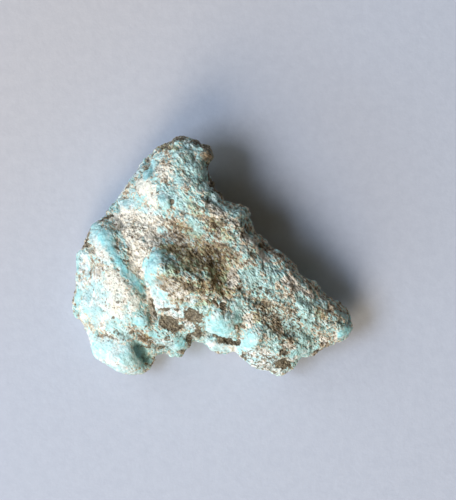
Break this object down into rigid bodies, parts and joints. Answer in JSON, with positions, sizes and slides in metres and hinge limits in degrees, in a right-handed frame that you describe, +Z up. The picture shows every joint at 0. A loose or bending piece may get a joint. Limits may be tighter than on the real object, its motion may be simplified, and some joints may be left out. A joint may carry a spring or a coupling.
{
  "type": "raw turquoise nugget",
  "caption": "Rough natural lump of blue-green stone: three lobes, a high knob, a long ridge and a small flat break to rest on.",
  "frame": {"origin": "on the floor plane, under the middle of the stone's bounding box", "axes": "+X along the longest side, towards the tip of the long arm; +Y towards the crown; +Z up, out of the lumpy upper side"},
  "size_m": [0.044, 0.0374, 0.0157],
  "materials": {
    "turquoise": "matt and granular, mottled blue-green, white, beige and brown"
  },
  "bodies": {
    "root": {"turquoise_nugget": "turquoise"}
  },
  "joints": []
}
